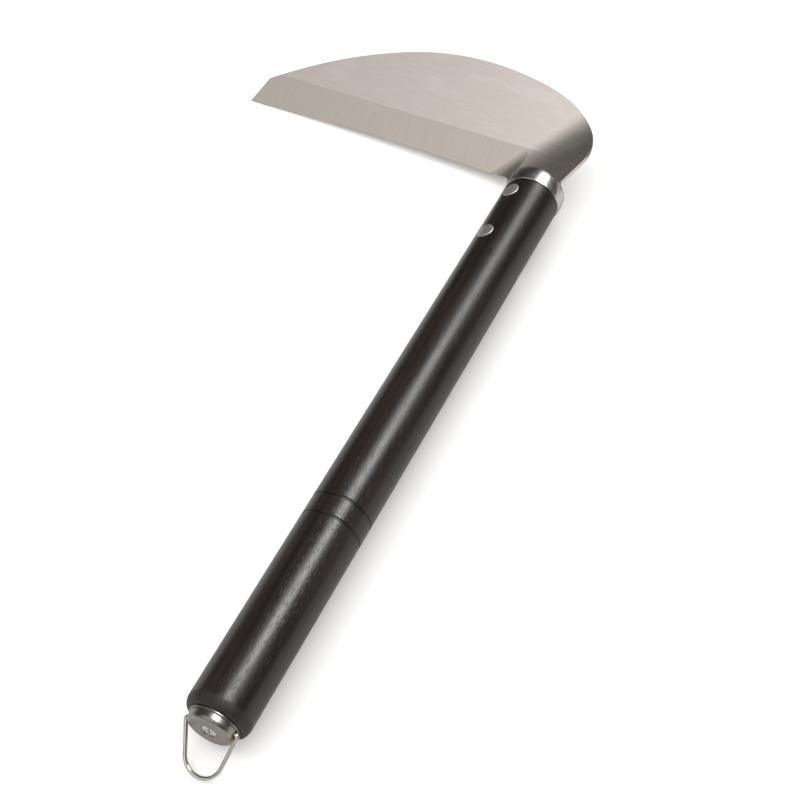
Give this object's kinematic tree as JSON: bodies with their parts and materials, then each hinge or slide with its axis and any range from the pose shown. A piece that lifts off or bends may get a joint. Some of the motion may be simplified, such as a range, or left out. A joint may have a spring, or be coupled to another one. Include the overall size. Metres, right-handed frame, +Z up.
{
  "type": "hand sickle",
  "caption": "Hand weeding sickle: a twisted steel blade with a ground edge on a round wooden handle, with a ferrule and a hanging bail.",
  "frame": {"origin": "bottom centre of the whole tool's box as it lies at rest on its ferrule, blade tip and bail", "axes": "+Y along the handle from the butt to the blade, +Z up from the surface it lies on, +X towards the handle's side, away from the blade's tip"},
  "size_m": [0.1986, 0.4206, 0.0365],
  "materials": {
    "wood": "dark stained, satin varnish",
    "blade_steel": "brushed, bevel ground across",
    "ferrule_steel": "polished",
    "rivet_steel": "ground flush",
    "cap_steel": "satin nickel",
    "screw_zinc": "zinc plated",
    "wire_nickel": "bright nickel"
  },
  "bodies": {
    "tool": {"handle": "wood", "blade": "blade_steel", "ferrule": "ferrule_steel", "front_rivet": "rivet_steel", "rear_rivet": "rivet_steel", "end_cap": "cap_steel", "cap_screw": "screw_zinc"},
    "bail": {"hanging_bail": "wire_nickel"}
  },
  "joints": [
    {"name": "bail_swing", "type": "hinge", "parent": "tool", "child": "bail", "pos_m": [0.08059, -0.19246, 0.0157], "axis": [-0.9893, 0, -0.1461], "range_deg": [-50, 130]}
  ]
}
